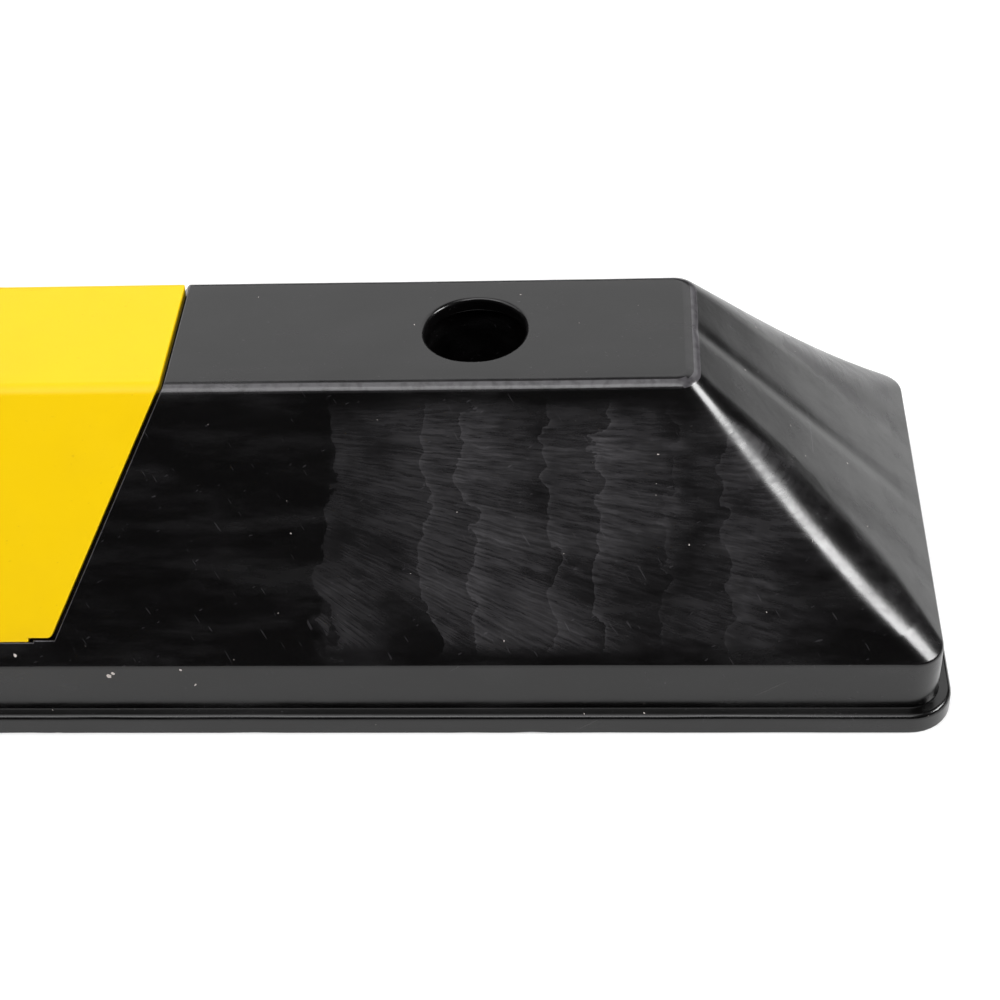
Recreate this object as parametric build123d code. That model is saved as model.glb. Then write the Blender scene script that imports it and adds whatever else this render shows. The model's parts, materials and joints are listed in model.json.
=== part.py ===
from build123d import *
import os
from math import hypot

# A parking wheel stop: a hollow black plastic body, open underneath and ribbed inside, with three yellow saddle
# panels that snap into recesses across its top and both long slopes. Origin: middle of the underside.
# X runs along the stop, Y across it, Z up. Millimetres.

# Overall size
LENGTH = 1650.0
WIDTH = 150.0
HEIGHT = 100.0

# Outside shape: a low flange round the foot, an upright band above it, then slopes up to a flat top
FLANGE_HEIGHT = 7.2
FLANGE_STEP = 3.9
FLANGE_CORNER = 13.5
BAND_TOP = 25.5
BAND_CORNER = 10.0
TOP_HALF_WIDTH = 26.5
TOP_END_INSET = 78.9
TOP_CORNER = 6.0
TOP_ROUND = 5.0
BAND_ROUND = 2.0
FLANGE_ROUND = 1.2
LEDGE_ROUND = 1.0

# Walls and ribs
WALL = 4.5
RIB = 3.0
SIDE_RIB_OFFSET = 32.0
END_CELL = 60.0

# Yellow panels: lengths are measured along the top edge
PANEL_COUNT = 3
END_BAND = 237.0
PANEL_THICKNESS = 3.5
SIDE_GAP = 1.5
LOWER_GAP = 0.6
PANEL_FOOT = 33.5
EDGE_LEAN = 0.562
LIP_DROP = 1.2
LIP_INSET = 7.0
PANEL_CORNER = 1.5

# Snap hooks on the panels and their slots in the body
HOOK_OFFSET = 45.0
HOOK_WIDTH = 16.0
HOOK_LOW = 38.0
HOOK_THICK = 3.0
BARB_RISE = 2.0
BARB_DEPTH = 2.2
SLOT_GAP = 0.4

# Anchor holes through the top, each inside a hollow post that stands on the ground
HOLE_RADIUS = 15.6
HOLE_ROUND = 1.75
END_HOLE_INSET = 145.0
POST_INNER_RADIUS = 18.0
POST_WALL = 2.5

HALF_LENGTH = LENGTH / 2
BAND_HALF_WIDTH = WIDTH / 2 - FLANGE_STEP
BAND_HALF_LENGTH = HALF_LENGTH - FLANGE_STEP
TOP_HALF_LENGTH = HALF_LENGTH - TOP_END_INSET
RISE = HEIGHT - BAND_TOP
SIDE_RUN = BAND_HALF_WIDTH - TOP_HALF_WIDTH
END_RUN = BAND_HALF_LENGTH - TOP_HALF_LENGTH
BAND_LENGTH = (LENGTH - 2 * END_BAND) / (2 * PANEL_COUNT - 1)
PANEL_CENTRES = [2 * BAND_LENGTH * (i - (PANEL_COUNT - 1) / 2) for i in range(PANEL_COUNT)]
PANEL_NAMES = ["marker_panel_left", "marker_panel_centre", "marker_panel_right"]
HOLE_XS = [-HALF_LENGTH + END_HOLE_INSET, -BAND_LENGTH, BAND_LENGTH, HALF_LENGTH - END_HOLE_INSET]


def level(z, half_length, half_width, corner):
    """A rounded rectangle at height z."""
    return Pos(0, 0, z) * RectangleRounded(2 * half_length, 2 * half_width, corner)


def slope_inset(depth, run):
    """How far a slope rising RISE over this run moves sideways when it sinks by depth."""
    return depth * hypot(RISE, run) / RISE


def core(depth):
    """The solid inside the band, slopes and top when every outer face is moved inwards by depth."""
    side = slope_inset(depth, SIDE_RUN)
    end = slope_inset(depth, END_RUN)
    knee = BAND_TOP - (side - depth) * RISE / SIDE_RUN
    top = HEIGHT - depth
    end_at_knee = BAND_HALF_LENGTH - end + (BAND_TOP - knee) * END_RUN / RISE
    side_at_top = TOP_HALF_WIDTH - side + depth * SIDE_RUN / RISE
    end_at_top = TOP_HALF_LENGTH - end + depth * END_RUN / RISE
    low_corner = max(BAND_CORNER - depth, 1.5)
    high_corner = max(TOP_CORNER - depth, 1.5)
    knee_level = level(knee, end_at_knee, BAND_HALF_WIDTH - depth, low_corner)
    foot = extrude(knee_level, -knee)
    hips = loft([knee_level, level(top, end_at_top, side_at_top, high_corner)], ruled=True)
    return foot + hips


def edges_at(shape, z):
    """The edges that lie in the horizontal plane at height z."""
    return shape.edges().filter_by_position(Axis.Z, z - 0.01, z + 0.01)


def outer_form():
    """The whole outside shape with its rounded edges, still solid."""
    form = core(0)
    form = fillet(edges_at(form, HEIGHT), TOP_ROUND)
    form = fillet(edges_at(form, BAND_TOP), BAND_ROUND)
    foot = extrude(level(0, HALF_LENGTH, WIDTH / 2, FLANGE_CORNER), FLANGE_HEIGHT)
    foot = fillet(edges_at(foot, FLANGE_HEIGHT), FLANGE_ROUND)
    form = form + foot
    seam = edges_at(form, FLANGE_HEIGHT).sort_by(SortBy.LENGTH)
    inner = [e for e in seam if e.bounding_box().max.Y <= BAND_HALF_WIDTH + 0.01
             and e.bounding_box().min.Y >= -BAND_HALF_WIDTH - 0.01
             and e.bounding_box().max.X <= BAND_HALF_LENGTH + 0.01
             and e.bounding_box().min.X >= -BAND_HALF_LENGTH - 0.01]
    return fillet(inner, LEDGE_ROUND)


def panel_outline(gap_side, gap_low):
    """The panel seen from the side, in X and Z: narrower towards its foot, with a shallow lip below."""
    top = HEIGHT + 5
    half_top = BAND_LENGTH / 2 - gap_side + 5 * EDGE_LEAN
    foot = PANEL_FOOT - LOWER_GAP + gap_low
    half_foot = BAND_LENGTH / 2 - gap_side - EDGE_LEAN * (HEIGHT - foot)
    half_lip = BAND_LENGTH / 2 - SIDE_GAP - EDGE_LEAN * (HEIGHT - PANEL_FOOT) - LIP_INSET + SIDE_GAP - gap_side
    sheet = Polygon((-half_foot, foot), (half_foot, foot), (half_top, top), (-half_top, top), align=None)
    sheet = fillet(sheet.vertices().group_by(Axis.Y)[0], PANEL_CORNER + SIDE_GAP - gap_side)
    lip = Pos(0, foot + (1 - LIP_DROP) / 2) * Rectangle(2 * half_lip, LIP_DROP + 1)
    return sheet + lip


def across(outline, half_width):
    """An outline in X and Z carried right across the stop."""
    return extrude(Plane.XZ * outline, half_width, both=True)


def slope_y(z, depth):
    """Half-width of the sloping wall at height z, at this depth under its outer face."""
    return BAND_HALF_WIDTH - (z - BAND_TOP) * SIDE_RUN / RISE - slope_inset(depth, SIDE_RUN)


def hook(side):
    """A snap hook that passes through the body's wall and catches behind it."""
    high = HOOK_LOW + HOOK_THICK
    behind = slope_y(high + BARB_RISE, PANEL_THICKNESS + WALL) - SLOT_GAP
    start = slope_y(high, PANEL_THICKNESS / 2)
    tip = behind - BARB_DEPTH
    tongue = Pos(0, side * (start + tip) / 2, HOOK_LOW + HOOK_THICK / 2) * Box(HOOK_WIDTH, start - tip, HOOK_THICK)
    barb = Pos(0, side * (behind + tip) / 2, high + BARB_RISE / 2) * Box(HOOK_WIDTH, BARB_DEPTH, BARB_RISE)
    return tongue + barb


def hook_slot(side):
    """The opening in the body's wall for one hook."""
    low = HOOK_LOW - SLOT_GAP
    high = HOOK_LOW + HOOK_THICK + BARB_RISE + SLOT_GAP
    outside = slope_y(low, PANEL_THICKNESS / 2)
    inside = slope_y(high, PANEL_THICKNESS + WALL) - 1
    box = Box(HOOK_WIDTH + 2 * SLOT_GAP, outside - inside, high - low)
    return Pos(0, side * (outside + inside) / 2, (low + high) / 2) * box


def hook_places(make):
    """Four copies of a hook or slot on one panel: two on each long side."""
    return [Pos(x, 0, 0) * make(side) for x in (-HOOK_OFFSET, HOOK_OFFSET) for side in (-1, 1)]


def marker_panel(form, floor):
    """One yellow saddle panel, centred on X = 0, with its hooks."""
    skin = form & across(panel_outline(SIDE_GAP, LOWER_GAP), WIDTH)
    return skin - floor + hook_places(hook)


def rib_stations():
    """Where the cross ribs stand: at the panels' edges and middles, at the end posts and once beyond them."""
    half = BAND_LENGTH / 2
    inner = [i * half for i in range(-2 * PANEL_COUNT + 1, 2 * PANEL_COUNT)]
    outer = [HOLE_XS[-1], HOLE_XS[-1] + END_CELL]
    return inner + outer + [-x for x in outer]


def inside_structure(hollow):
    """Ribs and anchor posts, trimmed to the inside of the walls."""
    ribs = [Pos(x, 0, HEIGHT / 2) * Box(RIB, WIDTH, HEIGHT) for x in rib_stations()]
    ribs += [Pos(0, y, HEIGHT / 2) * Box(LENGTH, RIB, HEIGHT) for y in (-SIDE_RIB_OFFSET, 0, SIDE_RIB_OFFSET)]
    posts = [Pos(x, 0, HEIGHT / 2) * Cylinder(POST_INNER_RADIUS + POST_WALL, HEIGHT) for x in HOLE_XS]
    return (Part() + ribs + posts) & hollow


def anchor_hole(x):
    """A hole through the top, widening inside its post."""
    bore = Pos(x, 0, HEIGHT / 2) * Cylinder(HOLE_RADIUS, HEIGHT + 2)
    well_top = HEIGHT - WALL
    well = Pos(x, 0, well_top / 2 - 0.5) * Cylinder(POST_INNER_RADIUS, well_top + 1)
    return bore + well


def stop_body(form, floor):
    """The black body: walls, panel recesses, ribs, posts, anchor holes and hook slots."""
    hollow = core(WALL)
    recess_depth = core(PANEL_THICKNESS + WALL)
    backing_outline = panel_outline(-WALL, -WALL)
    recess_outline = panel_outline(0, 0)
    centres = [Pos(x, 0, 0) for x in PANEL_CENTRES]
    backing = [c * (across(backing_outline, WIDTH) & hollow - recess_depth) for c in centres]
    body = form - hollow + backing + inside_structure(hollow)
    recess = across(recess_outline, WIDTH) - floor
    slots = hook_places(hook_slot)
    body = body - [c * recess for c in centres] - [c * s for c in centres for s in slots]
    body = body - [anchor_hole(x) for x in HOLE_XS]
    rims = body.edges().filter_by(GeomType.CIRCLE).filter_by(lambda e: abs(e.radius - HOLE_RADIUS) < 0.01)
    rims = rims.filter_by_position(Axis.Z, HEIGHT - 0.1, HEIGHT + 0.1)
    return fillet(rims, HOLE_ROUND)


def main():
    os.makedirs("parts", exist_ok=True)
    form = outer_form()
    floor = core(PANEL_THICKNESS)
    export_step(stop_body(form, floor), "parts/stop_body.step")
    panel = marker_panel(form, floor)
    for name, x in zip(PANEL_NAMES, PANEL_CENTRES):
        export_step(Pos(x, 0, 0) * panel, f"parts/{name}.step")


main()
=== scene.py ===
import json
from math import ceil, exp, hypot, pi, radians

import bmesh
import bpy
import numpy as np
from mathutils import Matrix, Vector, noise


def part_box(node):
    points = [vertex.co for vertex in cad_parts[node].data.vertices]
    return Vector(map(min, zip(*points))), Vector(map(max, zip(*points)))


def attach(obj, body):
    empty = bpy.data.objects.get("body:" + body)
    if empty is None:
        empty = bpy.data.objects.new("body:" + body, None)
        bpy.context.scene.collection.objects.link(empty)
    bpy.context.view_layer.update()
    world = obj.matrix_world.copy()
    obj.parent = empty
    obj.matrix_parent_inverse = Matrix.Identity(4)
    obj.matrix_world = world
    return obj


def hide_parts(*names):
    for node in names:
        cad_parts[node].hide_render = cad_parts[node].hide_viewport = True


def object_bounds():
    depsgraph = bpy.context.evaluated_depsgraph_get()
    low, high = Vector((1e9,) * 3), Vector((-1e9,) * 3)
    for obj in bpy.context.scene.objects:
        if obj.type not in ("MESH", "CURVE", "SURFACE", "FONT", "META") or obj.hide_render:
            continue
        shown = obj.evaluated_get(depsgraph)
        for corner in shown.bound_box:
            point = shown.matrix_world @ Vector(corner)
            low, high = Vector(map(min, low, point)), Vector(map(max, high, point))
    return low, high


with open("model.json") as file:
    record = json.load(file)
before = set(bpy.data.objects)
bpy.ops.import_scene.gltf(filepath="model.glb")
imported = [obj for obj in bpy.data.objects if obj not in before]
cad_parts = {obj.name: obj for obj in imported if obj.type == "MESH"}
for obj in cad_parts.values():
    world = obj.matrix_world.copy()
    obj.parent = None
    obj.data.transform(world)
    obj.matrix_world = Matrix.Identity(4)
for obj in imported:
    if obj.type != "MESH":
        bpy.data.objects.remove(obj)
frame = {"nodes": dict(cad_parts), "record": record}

bl_info = {
    "name": "Parking wheel stop",
    "version": (1, 0, 0),
    "blender": (4, 5, 0),
    "location": "View3D > Sidebar > Wheel Stop",
    "description": "Builds a hollow plastic parking wheel stop with snap-in yellow marker panels",
    "category": "Object",
}

# What the frame says: the whole box, the panels' boxes and the anchor holes
CAD_LOW, CAD_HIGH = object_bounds()
HALF_LENGTH = CAD_HIGH.x
HALF_WIDTH = CAD_HIGH.y
HEIGHT = CAD_HIGH.z
PANEL_NODES = sorted(name for name in frame["nodes"] if name.startswith("marker_panel"))
BODY_NODE = "stop_body"
PANEL_BOXES = {name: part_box(name) for name in PANEL_NODES}
HOLE_PATTERNS = [m for m in frame["record"]["mounts"] if m["kind"] == "bolt_pattern"]
HOLE_RADIUS = HOLE_PATTERNS[0]["dims"]["hole_r_mm"] / 1000
HOLE_XS = sorted(
    m["pos_m"][0] + side * m["dims"]["spacing_x_mm"] / 2000
    for m in HOLE_PATTERNS for side in (-1, 1)
)
MM = 0.001

# How strongly a painted highlight lightens the rims of the recesses, the crests of the folds, and the rest of
# the folds
RIM_HIGHLIGHT, CREST_HIGHLIGHT, FOLD_HIGHLIGHT = 1.0, 0.9, 0.12

# Edges that turn by more than this stay sharp when the faces are shaded smooth
SHARP_ANGLE = radians(38)

# The inside's corners get no tighter than this
SMALLEST_CORNER = 1.5 * MM

# Two places closer than this are the same
TOUCH = 0.01 * MM


# ---------------------------------------------------------------- sizes and colours

def length(name, description, millimetres):
    """A length property with its default given in millimetres."""
    return bpy.props.FloatProperty(
        name=name, description=description, default=millimetres * MM, min=0.0, unit="LENGTH", precision=4)


def colour(name, description, rgb):
    """A colour property."""
    return bpy.props.FloatVectorProperty(
        name=name, description=description, default=rgb, min=0.0, max=1.0, size=3, subtype="COLOR")


def brightness(name, place, value):
    """A property for the brightness of a softbox."""
    return bpy.props.FloatProperty(
        name=name, description="Brightness of the softbox " + place, default=value, min=0.0)


class WHEELSTOP_PG_sizes(bpy.types.PropertyGroup):
    """Sizes of the moulding and its panels"""

    flange_height: length("Flange height", "Height of the flange round the foot", 7.2)
    flange_step: length("Flange step", "How far the flange stands out from the band", 3.9)
    flange_corner: length("Flange corner", "Plan radius of the flange's corners", 13.5)
    flange_round: length("Flange edge", "Rounding of the flange's upper edge", 1.7)
    band_top: length("Band top", "Height where the upright band meets the slopes", 25.5)
    band_corner: length("Band corner", "Plan radius of the band's corners", 10.0)
    top_half_width: length("Top half width", "Half the width of the flat top", 26.5)
    top_end_inset: length("Top end inset", "From the end of the stop to the flat top", 78.9)
    top_corner: length("Top corner", "Plan radius of the top's corners", 6.0)
    hip_swell: length("Hip swell", "How much more the hips are rounded half way up than at their ends", 2.4)
    hip_reach: length("Hip reach", "How much further that rounding reaches over the end slopes", 3.4)
    top_round: length("Top edge", "Width of the rounding along the top's edges, on each face", 2.6)
    knee_round: length("Band edge", "Rounding where the band meets the slopes", 0.7)
    ledge_round: length("Ledge round", "Rounding where the band meets the flange", 0.5)
    base_round: length("Base edge", "Rounding of the edges on the ground", 0.5)
    hole_round: length("Hole edge", "Rounding of the rims of the anchor holes", 1.4)
    lower_rim_round: length("Lower rim", "Rounding where an anchor hole opens into its post", 0.5)
    recess_round: length("Recess edge", "Rounding of the rims of the recesses", 0.35)
    wall: length("Wall", "Thickness of the moulding's walls", 4.5)
    rib: length("Rib", "Thickness of the inner ribs", 3.0)
    side_rib_offset: length("Side rib offset", "From the centre line to the outer lengthwise ribs", 32.0)
    end_cell: length("End cell", "From the end anchor holes to the last cross rib", 60.0)
    post_inner: length("Post bore", "Inner radius of the anchor posts", 18.0)
    post_outer: length("Post outside", "Outer radius of the anchor posts", 20.5)
    post_margin: length("Post margin", "From an anchor post to the mesh of the top round it", 1.5)
    panel_thickness: length("Panel thickness", "Thickness of a marker panel and depth of its recess", 3.5)
    side_gap: length("Side gap", "Gap between a panel's sides and its recess", 1.5)
    lower_gap: length("Lower gap", "Gap under a panel's lower edges", 0.6)
    lip_drop: length("Lip drop", "How far a panel's lip reaches below its lower edge", 1.2)
    lip_reach: length("Lip reach", "How far the lip's face comes down, just short of its recess", 1.05)
    lip_step: length("Lip recess", "How far a recess steps down under a lip", 0.55)
    lip_inset: length("Lip inset", "From a panel's lower corner to the end of its lip", 7.0)
    panel_corner: length("Panel corner", "Radius of a panel's lower corners", 1.2)
    panel_round: length("Panel edge", "Rounding of a panel's edges", 0.4)
    panel_play: length("Panel play", "How much thinner a panel is than its recess is deep", 0.05)
    hook_offset: length("Hook offset", "From a panel's middle to its snap hooks", 45.0)
    hook_width: length("Hook width", "Width of a snap hook", 16.0)
    hook_low: length("Hook height", "Height of the underside of a snap hook", 38.0)
    hook_thick: length("Hook thickness", "Thickness of a snap hook's tongue", 3.0)
    barb_rise: length("Barb rise", "Height of the barb on a snap hook", 2.0)
    barb_depth: length("Barb depth", "Thickness of the barb on a snap hook", 2.2)
    barb_lead: length("Barb lead-in", "How far the front of the barb leans back", 0.8)
    slot_gap: length("Slot gap", "Gap round a snap hook in its slot", 0.4)
    sink: length("Sink marks", "Depth of the sink marks over the lengthwise ribs", 0.28)
    sink_width: length("Sink width", "How far the sink marks spread to each side of a rib", 3.2)
    sink_margin: length("Sink margin", "How far the sink marks stay away from the hips", 6.0)
    dent: length("Dents", "Depth of the dents along the flange", 0.4)
    nick: length("Nicks", "Depth of the nicks in the flange's lower edge", 1.3)
    warp: length("Warp", "How far the moulding wanders from flat", 0.3)
    edge_lean: bpy.props.FloatProperty(
        name="Edge lean", description="How far a panel's sides lean in for each unit down the slope",
        default=0.562, min=0.0, max=1.0, subtype="FACTOR")
    mesh_step: length("Mesh step", "Longest distance between the mesh's columns, and between its levels", 6.5)
    row_step: length("Row step", "Longest distance between the rows across the top", 1.25)
    inner_step: length("Inner step", "Longest distance between the levels of the inside", 8.0)


class WHEELSTOP_PG_finish(bpy.types.PropertyGroup):
    """Colours of the plastics and the floor"""

    black: colour("Black plastic", "Colour of the moulded body", (0.0022, 0.002, 0.002))
    # This colour also paints the highlight on the recess rims and folds
    haze_and_highlight: colour("Scuff haze", "Colour of the hazy scuffs on the body", (0.105, 0.100, 0.108))
    fleck: colour("Flecks", "Colour of the light flecks and nicks", (0.62, 0.56, 0.53))
    yellow: colour("Yellow plastic", "Colour of the marker panels", (1.0, 0.66, 0.0))
    # Darker orange, used for the faint marks and for the patches near the panels' lower edges
    orange_tint: colour("Panel grime", "Colour of the faint marks on the marker panels", (0.72, 0.42, 0.01))
    floor: colour("Floor", "Colour of the floor", (0.75, 0.75, 0.75))
    floor_glow: bpy.props.FloatProperty(
        name="Floor glow", description="How much the floor glows by itself", default=0.36, min=0.0)


class WHEELSTOP_PG_stage(bpy.types.PropertyGroup):
    """Floor, lights and camera"""

    floor_size: length("Floor size", "Side of the square floor", 12000.0)
    back_light: brightness("Back light", "behind", 1.35)
    top_light: brightness("Top light", "overhead", 1.6)
    front_light: brightness("Front light", "in front", 3.7)
    side_light: brightness("Side light", "beyond the right end", 24.0)
    far_light: brightness("Far light", "over the left end", 1.5)
    room: colour("Room", "Colour of the dim room round the stage", (0.02, 0.02, 0.022))
    backdrop: colour("Backdrop", "Colour seen past the edge of the floor", (1.0, 1.0, 1.0))
    lens: bpy.props.FloatProperty(
        name="Lens", description="Focal length of the camera", default=73.256, min=1.0,
        subtype="DISTANCE_CAMERA")
    camera_place: bpy.props.FloatVectorProperty(
        name="Camera place", description="Where the camera stands", default=(0.72675, -0.49698, 0.47210),
        subtype="TRANSLATION", unit="LENGTH")
    camera_turn: bpy.props.FloatVectorProperty(
        name="Camera turn", description="Tilt from straight down, roll and heading of the camera",
        default=(radians(90 - 41.55), radians(-3.69), radians(4.89)), subtype="EULER")


# ---------------------------------------------------------------- the form

def panel_centres():
    """X of the middle of each panel."""
    return [(low.x + high.x) / 2 for low, high in PANEL_BOXES.values()]


def recess_half(sizes):
    """Half the length of a recess, along the top."""
    low, high = PANEL_BOXES[PANEL_NODES[0]]
    return (high.x - low.x) / 2 + sizes.side_gap


def panel_foot(sizes):
    """Height of a panel's lower edge, above its lip."""
    return PANEL_BOXES[PANEL_NODES[0]][0].z + sizes.lip_drop


def lip_half(sizes):
    """Half the length of the lip under a panel."""
    drop = HEIGHT - panel_foot(sizes)
    return recess_half(sizes) - sizes.side_gap - sizes.edge_lean * drop - sizes.lip_inset


def slopes(sizes):
    """How far the slopes rise, and how far the end slopes and the long slopes run in."""
    side_run = HALF_WIDTH - sizes.flange_step - sizes.top_half_width
    return HEIGHT - sizes.band_top, sizes.top_end_inset - sizes.flange_step, side_run


def section(sizes, z, depth=0.0):
    """The form at height z, with all its faces moved in by depth: half its length, half its width, and a
    corner's reach along X and along Y."""
    rise, end_run, side_run = slopes(sizes)
    band_half_length = HALF_LENGTH - sizes.flange_step
    band_half_width = HALF_WIDTH - sizes.flange_step
    climb = z - sizes.band_top
    half_length = band_half_length - (climb * end_run + depth * hypot(rise, end_run)) / rise
    half_width = band_half_width - (climb * side_run + depth * hypot(rise, side_run)) / rise
    share = min(max(climb / rise, 0.0), 1.0)
    swell = 4 * share * (1 - share) * (3 - 2 * share)
    corner = max(sizes.band_corner + share * (sizes.top_corner - sizes.band_corner) - depth, SMALLEST_CORNER)
    return (min(half_length, band_half_length - depth), min(half_width, band_half_width - depth),
            corner + swell * sizes.hip_swell, corner + swell * (sizes.hip_swell + sizes.hip_reach))


def steps(start, end, longest):
    """Evenly spaced values from start to end, both included, no further apart than longest."""
    return list(np.linspace(start, end, max(ceil(abs(end - start) / longest - 1e-6), 1) + 1))


def post_block(sizes):
    """Half the side of the square of the top that is kept free round an anchor post."""
    return sizes.post_outer + sizes.post_margin


def guides(sizes, z, margin=0.0):
    """Lines that the mesh's columns follow: where each meets the top edge, and where it is at height z."""
    drop = min(HEIGHT - z, HEIGHT - panel_foot(sizes) + sizes.lower_gap)
    half, lip = recess_half(sizes), lip_half(sizes) + sizes.side_gap
    lines = []
    for centre in panel_centres():
        for side in (-1, 1):
            lines.append((centre + side * half, centre + side * (half + margin - sizes.edge_lean * drop)))
            lines.append((centre + side * lip, centre + side * (lip + margin)))
    for hole in HOLE_XS:
        lines += [(hole + block, hole + block) for block in (-post_block(sizes), post_block(sizes))]
    return sorted(lines)


def corner_cell(sizes):
    """Length of the top's last mesh cell, which holds its rounded corner."""
    return 1.2 * sizes.top_corner


def top_columns(sizes):
    """Where the mesh's columns meet the top edge, from end to end."""
    last = HALF_LENGTH - sizes.top_end_inset - corner_cell(sizes)
    marks = [-last] + [top for top, _ in guides(sizes, HEIGHT)] + [last]
    columns = [-last - corner_cell(sizes)]
    for start, end in zip(marks, marks[1:]):
        columns += steps(start, end, sizes.mesh_step)[:-1]
    return columns + [last, last + corner_cell(sizes)]


def top_rows(sizes):
    """Where the mesh's rows cross the top, from side to side."""
    last = sizes.top_half_width - corner_cell(sizes)
    return [-sizes.top_half_width] + steps(-last, last, sizes.row_step) + [sizes.top_half_width]


class Loft:
    """A mesh made ring by ring under a flat sheet. Each vertex remembers the part of the sheet's edge that it
    came from: a point of the core, inside the rounded corners, and a direction out of it."""

    def __init__(self, sizes):
        self.sizes = sizes
        self.bm = bmesh.new()
        # Each face's share of painted highlight, which the material uses to lighten the rims and folds
        self.bm.faces.layers.float.new("painted_highlight")
        self.core = self.bm.verts.layers.float_vector.new("core")
        self.out = self.bm.verts.layers.float_vector.new("out")
        self.core_x = HALF_LENGTH - sizes.top_end_inset - sizes.top_corner
        self.core_y = sizes.top_half_width - sizes.top_corner

    def sheet(self):
        """The flat top: a grid with rounded corners and a square opening round each anchor hole."""
        bm, sizes = self.bm, self.sizes
        lay_grid(bm, top_columns(sizes), top_rows(sizes), HEIGHT)
        corners = [v for v in bm.verts if len(v.link_faces) == 1]
        bmesh.ops.bevel(bm, geom=corners, offset=sizes.top_corner, offset_type="OFFSET", segments=9,
                        profile=0.5, affect="VERTICES", material=-1)
        for vert in bm.verts:
            core = Vector((min(max(vert.co.x, -self.core_x), self.core_x),
                           min(max(vert.co.y, -self.core_y), self.core_y), 0.0))
            vert[self.core] = core
            vert[self.out] = (Vector((vert.co.x, vert.co.y, 0.0)) - core) / sizes.top_corner
        inside = [f for f in bm.faces
                  if any(abs(f.calc_center_median().x - x) < post_block(sizes) for x in HOLE_XS)
                  and abs(f.calc_center_median().y) < sizes.top_half_width - corner_cell(sizes)]
        bmesh.ops.delete(bm, geom=inside, context="FACES")

    def place(self, verts, z, depth=0.0, margin=0.0, ring=None):
        """Puts vertices where their part of the edge lies at height z, or on the given ring."""
        half_length, half_width, corner_x, corner_y = ring or section(self.sizes, z, depth)
        lines = guides(self.sizes, z, margin)
        last = half_length - corner_x
        tops = [-self.core_x] + [top for top, _ in lines] + [self.core_x]
        lows = [-last] + [low for _, low in lines] + [last]
        for vert in verts:
            core, out = vert[self.core], vert[self.out]
            x = float(np.interp(core.x, tops, lows))
            y = core.y / self.core_y * (half_width - corner_y)
            vert.co = (x + out.x * corner_x, y + out.y * corner_y, z)

    def extend(self, edges, z, **where):
        """One more ring: the edges are extruded and the new ones are put in place."""
        made = bmesh.ops.extrude_edge_only(self.bm, edges=edges)["geom"]
        fresh = {g for g in made if isinstance(g, bmesh.types.BMVert)}
        self.place(fresh, z, **where)
        return [g for g in made if isinstance(g, bmesh.types.BMEdge) and fresh.issuperset(g.verts)]


def lay_grid(bm, columns, rows, z):
    """A flat grid at height z whose lines lie at the given X and Y values."""
    last_column, last_row = len(columns) - 1, len(rows) - 1
    made = bmesh.ops.create_grid(bm, x_segments=last_column, y_segments=last_row, size=1.0)["verts"]
    low_x, high_x = min(v.co.x for v in made), max(v.co.x for v in made)
    low_y, high_y = min(v.co.y for v in made), max(v.co.y for v in made)
    for vert in made:
        column = round((vert.co.x - low_x) / (high_x - low_x) * last_column)
        row = round((vert.co.y - low_y) / (high_y - low_y) * last_row)
        vert.co = (columns[column], rows[row], z)
    return made


def edge_ring(faces):
    """The edges on the border of these faces."""
    chosen = set(faces)
    return [e for f in chosen for e in f.edges if sum(g in chosen for g in e.link_faces) == 1]


def round_edges(bm, edges, offset, segments, painted_highlight=0.0):
    """Rounds sharp edges, and marks how strongly a painted highlight lightens the new faces."""
    made = bmesh.ops.bevel(
        bm, geom=edges, offset=offset, offset_type="OFFSET", segments=segments, profile=0.5, affect="EDGES",
        material=-1, clamp_overlap=False, loop_slide=True)["faces"]
    if painted_highlight:
        edge_highlight = bm.faces.layers.float.get("painted_highlight")
        for face in made:
            face[edge_highlight] = painted_highlight
    return made


def add_block(bm, low, high):
    """A box between two corners. Gives its faces."""
    middle = (Vector(low) + Vector(high)) / 2
    scale = Matrix.Diagonal((*(Vector(high) - Vector(low)), 1.0))
    made = bmesh.ops.create_cube(bm, size=1.0, matrix=Matrix.Translation(middle) @ scale)["verts"]
    return {f for v in made for f in v.link_faces}


def slice_faces(bm, faces, point, normal, clear_outer=False):
    """Cuts these faces along a plane. Gives the faces that are left and the edges along the cut."""
    geom = [*faces, *{e for f in faces for e in f.edges}, *{v for f in faces for v in f.verts}]
    cut = bmesh.ops.bisect_plane(bm, geom=geom, dist=1e-6, plane_co=point, plane_no=normal,
                                 clear_outer=clear_outer)
    left = {g for g in cut["geom"] if isinstance(g, bmesh.types.BMFace) and g.is_valid}
    return left, [g for g in cut["geom_cut"] if isinstance(g, bmesh.types.BMEdge)]


def in_recess(sizes, point, margin):
    """Is this point of the skin inside a panel's outline, widened by margin?"""
    drop = HEIGHT - point.z
    foot = panel_foot(sizes) - sizes.lower_gap - margin
    side = recess_half(sizes) + margin - sizes.edge_lean * drop
    lip = lip_half(sizes) + sizes.side_gap + margin
    away = min(abs(point.x - c) for c in panel_centres())
    return (point.z > foot and away < side) or (point.z > foot - sizes.lip_step and away < lip)


def add_ring(bm, x, radius, z, count):
    """A level circle round an anchor hole's axis."""
    made = bmesh.ops.create_circle(bm, segments=count, radius=radius,
                                   matrix=Matrix.Translation((x, 0.0, z)))["verts"]
    fresh = set(made)
    return [e for e in {e for v in made for e in v.link_edges} if fresh.issuperset(e.verts)]


def extend_circle(bm, edges, x, radius, z):
    """Extrudes a circle round an anchor hole's axis to another radius and height."""
    made = bmesh.ops.extrude_edge_only(bm, edges=edges)["geom"]
    verts = [g for g in made if isinstance(g, bmesh.types.BMVert)]
    fresh = set(verts)
    for vert in verts:
        flat = Vector((vert.co.x - x, vert.co.y, 0.0)).normalized() * radius
        vert.co = (x + flat.x, flat.y, z)
    return [g for g in made if isinstance(g, bmesh.types.BMEdge) and fresh.issuperset(g.verts)]


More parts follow.
